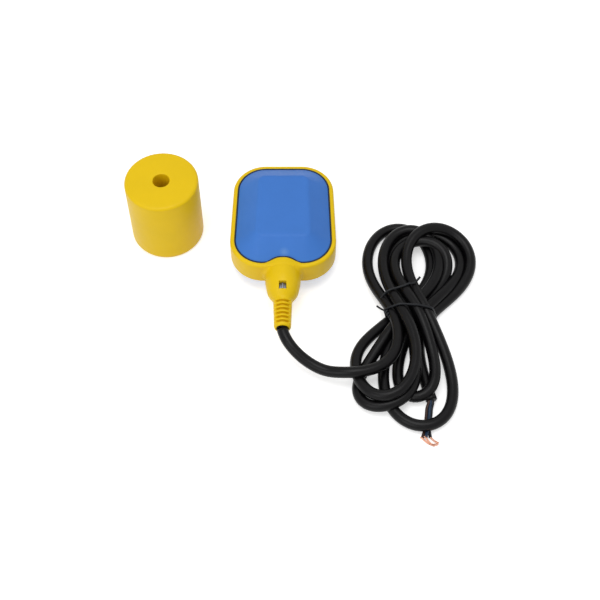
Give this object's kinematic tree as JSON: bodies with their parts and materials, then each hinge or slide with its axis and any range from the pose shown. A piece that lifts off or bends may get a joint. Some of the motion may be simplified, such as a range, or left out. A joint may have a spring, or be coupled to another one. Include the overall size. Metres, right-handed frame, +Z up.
{
  "type": "cable float switch",
  "caption": "Flat float with a sealed tilt switch inside, a grooved cord boot, a tied hank of three-core cord and a loose cylindrical counterweight.",
  "frame": {"origin": "middle of the float's lower flat face, on the surface it lies on", "axes": "+Z up, +Y towards the float's closed end, -Y along the neck and boot, +X towards the hank of cord"},
  "size_m": [0.2657, 0.2305, 0.062],
  "materials": {
    "blue_plastic": "satin moulded",
    "yellow_plastic": "satin moulded",
    "seam_rubber": "matte",
    "cord_rubber": "satin",
    "ivory_plastic": "matte",
    "black_plastic": "matte",
    "bright_steel": "bright",
    "terminal_brass": "bright",
    "copper_strands": "bright copper",
    "brown_core": "satin",
    "blue_core": "satin",
    "black_core": "satin",
    "iron_ballast": "rough cast"
  },
  "bodies": {
    "float": {"upper_shell": "blue_plastic", "lower_shell": "blue_plastic", "band_and_boot": "yellow_plastic", "upper_bead": "seam_rubber", "lower_bead": "seam_rubber", "cord_clamp": "bright_steel", "gland_washer": "bright_steel", "gland_seal": "seam_rubber", "cord_inner": "cord_rubber", "carrier": "ivory_plastic", "carrier_screws": "bright_steel", "race_cover": "ivory_plastic", "cover_screws": "bright_steel", "switch_case": "black_plastic", "terminal_common": "terminal_brass", "terminal_open": "terminal_brass", "terminal_closed": "terminal_brass", "lever_pin": "bright_steel", "wire_common": "brown_core", "wire_open": "black_core", "wire_closed": "blue_core", "weight_shell": "yellow_plastic", "weight_ballast": "iron_ballast", "weight_base": "yellow_plastic", "cord_lead": "cord_rubber", "cord_hank": "cord_rubber", "cord_tie": "black_plastic", "core_brown": "brown_core", "core_blue": "blue_core", "core_black": "black_core", "copper_ends": "copper_strands"},
    "ball": {"ball": "bright_steel"},
    "lever": {"lever": "bright_steel"},
    "button": {"button": "ivory_plastic"}
  },
  "joints": [
    {"name": "ball_roll", "type": "slide", "parent": "float", "child": "ball", "axis": [0, -1, 0], "range_m": [0, 0.0114]},
    {"name": "lever_press", "type": "hinge", "parent": "float", "child": "lever", "pos_m": [0, -0.0172, 0.0249], "axis": [-1, 0, 0], "range_deg": [0, 4], "stiffness_Nm_per_rad": 0.02, "springref_deg": -2.86},
    {"name": "button_press", "type": "slide", "parent": "float", "child": "button", "axis": [0, 0, -1], "range_m": [0, 0.001]}
  ],
  "couplings": [
    {"joint": "button_press", "follows": "lever_press", "m_per_rad": 0.012}
  ]
}
